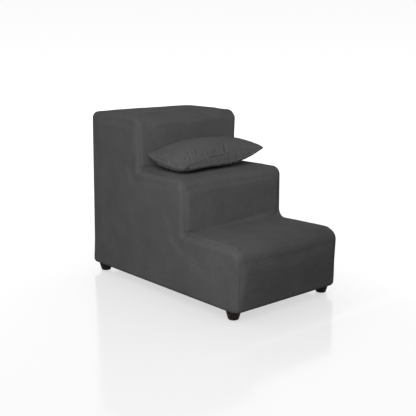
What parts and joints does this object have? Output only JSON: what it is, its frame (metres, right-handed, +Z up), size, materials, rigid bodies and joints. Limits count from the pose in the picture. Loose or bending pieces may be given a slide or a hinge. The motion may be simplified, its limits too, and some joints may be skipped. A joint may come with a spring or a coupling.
{
  "type": "pet stair",
  "caption": "Upholstered pet stair with block steps on short tapered feet, and a loose zipped cushion lying on its middle step.",
  "frame": {"origin": "on the floor, under the middle of the stair's outline", "axes": "+Z up; +Y along the way that the steps climb, so the lowest step faces -Y; +X to the right of it, across the steps"},
  "size_m": [0.412, 0.71, 0.535],
  "materials": {
    "cover_fabric": "matte",
    "cushion_fabric": "matte",
    "filling": "matte",
    "foam": "matte",
    "screw_steel": "satin",
    "foot_plastic": "satin",
    "dust_cloth": "matte",
    "zip_tape": "matte",
    "zip_metal": "satin",
    "pine": "matte",
    "plywood": "matte"
  },
  "bodies": {
    "frame": {"back_board": "plywood", "back_board_nails": "screw_steel", "base_rail_back": "pine", "base_rail_front": "pine", "base_rail_left": "pine", "base_rail_right": "pine", "cleat_screws": "screw_steel", "cover_back": "cover_fabric", "cover_side_left": "cover_fabric", "cover_side_right": "cover_fabric", "cover_staples": "screw_steel", "cover_steps": "cover_fabric", "dust_cover": "dust_cloth", "foam_back": "foam", "foam_riser_1": "foam", "foam_riser_2": "foam", "foam_riser_top": "foam", "foam_side_left": "foam", "foam_side_right": "foam", "foam_tread_1": "foam", "foam_tread_2": "foam", "foam_tread_top": "foam", "foot_front_left": "foot_plastic", "foot_front_right": "foot_plastic", "foot_rear_left": "foot_plastic", "foot_rear_right": "foot_plastic", "foot_screws": "screw_steel", "post_screws": "screw_steel", "rail_screws": "screw_steel", "rear_post_left": "pine", "rear_post_right": "pine", "riser_board_1": "plywood", "riser_board_2": "plywood", "riser_board_top": "plywood", "riser_screws": "screw_steel", "side_panel_left": "plywood", "side_panel_right": "plywood", "tread_board_1": "plywood", "tread_board_2": "plywood", "tread_board_top": "plywood", "tread_cleat_1_left": "pine", "tread_cleat_1_right": "pine", "tread_cleat_2_left": "pine", "tread_cleat_2_right": "pine", "tread_cleat_top_left": "pine", "tread_cleat_top_right": "pine", "tread_screws": "screw_steel"},
    "cushion": {"cushion_cover_top": "cushion_fabric", "cushion_cover_bottom": "cushion_fabric", "cushion_filling": "filling", "zip_tape_upper": "zip_tape", "zip_tape_lower": "zip_tape"},
    "zip_slider": {"zip_slider": "zip_metal"},
    "zip_pull": {"zip_pull": "zip_metal"}
  },
  "joints": [
    {"name": "cushion_lift", "type": "slide", "parent": "frame", "child": "cushion", "axis": [0, 0, 1], "range_m": [0, 0.2]},
    {"name": "zip_slide", "type": "slide", "parent": "cushion", "child": "zip_slider", "axis": [0.9983, 0.0576, 0], "range_m": [0, 0.16], "deforming": ["zip_tape_upper", "zip_tape_lower"]},
    {"name": "zip_pull_swing", "type": "hinge", "parent": "zip_slider", "child": "zip_pull", "pos_m": [-0.10263, 0.07127, 0.4184], "axis": [0, 0, 1], "range_deg": [0, 150]}
  ]
}
